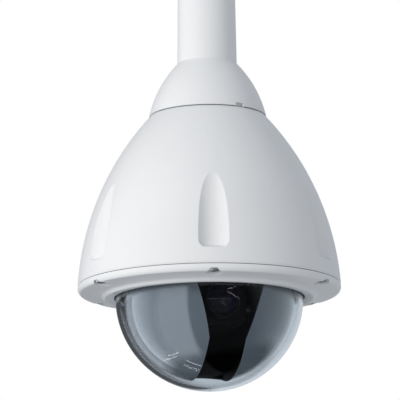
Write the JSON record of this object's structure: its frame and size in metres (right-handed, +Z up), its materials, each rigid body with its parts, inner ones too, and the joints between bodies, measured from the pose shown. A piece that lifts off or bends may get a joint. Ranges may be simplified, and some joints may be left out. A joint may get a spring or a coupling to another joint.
{
  "type": "ptz camera",
  "caption": "Outdoor pendant dome camera: fluted bell housing on a pole, clear bubble, and a pan, tilt and zoom camera inside.",
  "frame": {"origin": "centre of the pendant pole's top end", "axes": "+Z up along the pole and the pan axis; the lens faces -Y at rest; tilt axis along X"},
  "size_m": [0.216, 0.216, 0.3868],
  "materials": {
    "pole_paint": "smooth white powder coat",
    "housing_paint": "fine textured white powder coat",
    "gasket_rubber": "matt black",
    "stainless": "brushed stainless",
    "zinc_steel": "zinc plated",
    "bubble": "lightly smoked polycarbonate, polished",
    "shroud_plastic": "glossy grey moulding",
    "black_plastic": "fine textured black",
    "lens_glass": "coated optical glass",
    "circuit_board": "solder mask green",
    "terminal_plastic": "moulded green",
    "aluminium": "milled",
    "brass": "turned",
    "gear_plastic": "natural acetal"
  },
  "bodies": {
    "housing": {"pendant_pole": "pole_paint", "pole_locknut": "zinc_steel", "pendant_cap": "housing_paint", "cap_gasket": "gasket_rubber", "cap_screws": "stainless", "bell_housing": "housing_paint", "ring_gasket": "gasket_rubber", "trim_ring": "housing_paint", "trim_ring_screws": "stainless", "dome_gasket": "gasket_rubber", "clear_dome": "bubble", "dome_clamp_ring": "aluminium", "dome_clamp_screws": "stainless", "standoffs": "zinc_steel", "chassis_screws": "stainless", "chassis_plate": "aluminium", "board_spacers": "brass", "interface_board": "circuit_board", "terminal_block": "terminal_plastic", "heater_block": "aluminium", "thermostat": "black_plastic", "fan_frame": "black_plastic", "slip_ring_stator": "black_plastic", "frame_posts": "zinc_steel", "pan_base": "aluminium", "pan_motor": "zinc_steel", "pan_bearing_outer": "stainless", "pan_home_sensor": "black_plastic"},
    "fan": {"fan_rotor": "black_plastic"},
    "pan": {"pan_bearing_inner": "stainless", "pan_bearing_balls": "stainless", "pan_shaft": "aluminium", "slip_ring_rotor": "black_plastic", "pan_gear": "gear_plastic", "pan_platform": "aluminium", "pan_home_flag": "black_plastic", "drive_board": "circuit_board", "yoke_left": "black_plastic", "yoke_right": "black_plastic", "yoke_screws": "stainless", "tilt_bushings": "brass", "tilt_motor": "zinc_steel", "lens_shroud": "shroud_plastic", "shroud_posts": "zinc_steel"},
    "pan_drive": {"pan_pinion": "brass"},
    "tilt_drive": {"tilt_pinion": "brass"},
    "camera": {"camera_case": "black_plastic", "case_front": "black_plastic", "case_rear": "black_plastic", "lens_barrel": "black_plastic", "front_lens": "lens_glass", "guide_rods": "stainless", "sensor_board": "circuit_board", "image_sensor": "black_plastic", "tilt_shafts": "stainless", "tilt_gear": "black_plastic"},
    "zoom": {"zoom_carrier": "black_plastic", "zoom_lens": "lens_glass"},
    "focus": {"focus_carrier": "black_plastic", "focus_lens": "lens_glass"}
  },
  "joints": [
    {"name": "pan_turn", "type": "hinge", "parent": "housing", "child": "pan", "pos_m": [0, 0, -0.25], "axis": [0, 0, 1], "continuous": true},
    {"name": "pan_pinion_spin", "type": "hinge", "parent": "housing", "child": "pan_drive", "pos_m": [0.044, 0, -0.25], "axis": [0, 0, 1], "continuous": true},
    {"name": "tilt_turn", "type": "hinge", "parent": "pan", "child": "camera", "pos_m": [0, 0, -0.318], "axis": [1, 0, 0], "range_deg": [0, 90]},
    {"name": "tilt_pinion_spin", "type": "hinge", "parent": "pan", "child": "tilt_drive", "pos_m": [0.036, 0, -0.2924], "axis": [1, 0, 0], "range_deg": [-325, 5]},
    {"name": "zoom_slide", "type": "slide", "parent": "camera", "child": "zoom", "axis": [0, 1, 0], "range_m": [0, 0.01]},
    {"name": "focus_slide", "type": "slide", "parent": "camera", "child": "focus", "axis": [0, 1, 0], "range_m": [0, 0.006]},
    {"name": "fan_spin", "type": "hinge", "parent": "housing", "child": "fan", "pos_m": [-0.043, 0, -0.195], "axis": [0, 0, 1], "continuous": true}
  ],
  "couplings": [
    {"joint": "pan_pinion_spin", "follows": "pan_turn", "ratio": -5.2857},
    {"joint": "tilt_pinion_spin", "follows": "tilt_turn", "ratio": -3.5714}
  ]
}
